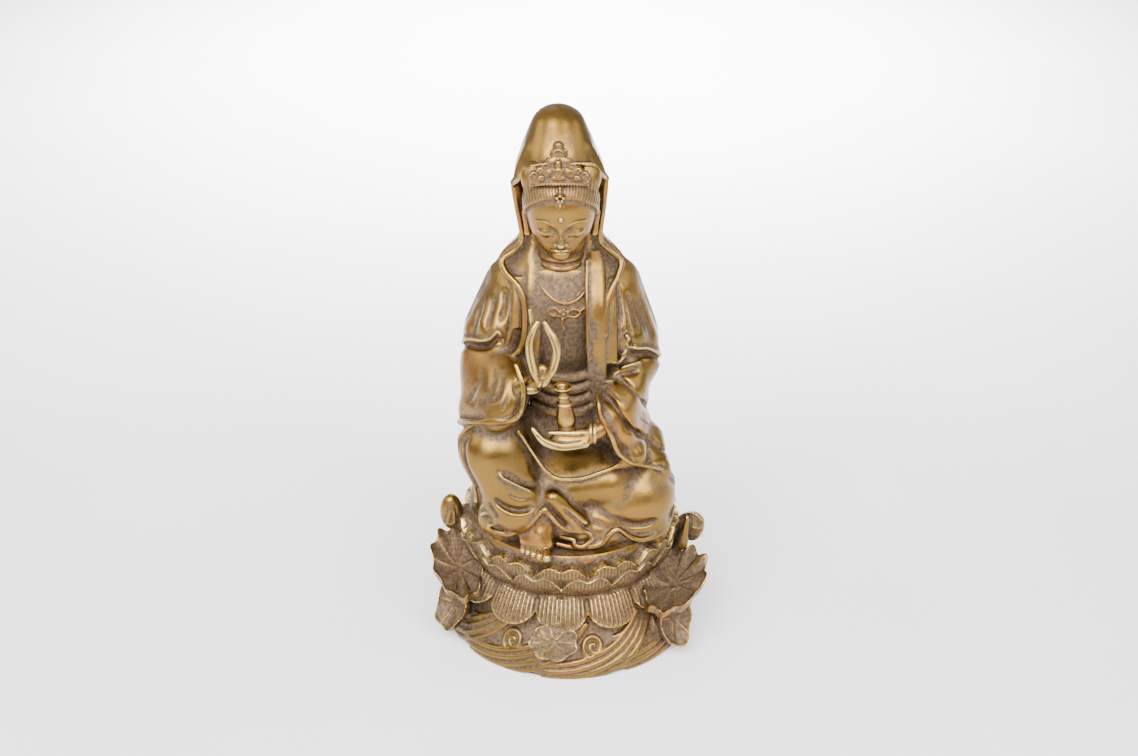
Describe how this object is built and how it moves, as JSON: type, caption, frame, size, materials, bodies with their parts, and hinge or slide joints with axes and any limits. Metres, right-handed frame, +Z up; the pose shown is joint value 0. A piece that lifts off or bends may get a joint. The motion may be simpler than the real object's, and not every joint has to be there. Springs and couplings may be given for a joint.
{
  "type": "guanyin figure",
  "caption": "Seated hooded figure on a lotus throne over waves, one knee raised, one hand lifted, the other holding a small vase; cast brass.",
  "frame": {"origin": "centre of the round underside, at the height of the table", "axes": "+Z up, -Y toward the viewer, +X to the right of the picture"},
  "size_m": [0.1548, 0.1422, 0.2997],
  "materials": {
    "patinated_brass": "golden brown patina, darker in the hollows, polished yellow on the raised edges"
  },
  "bodies": {
    "root": {"guanyin_figure": "patinated_brass"}
  },
  "joints": []
}
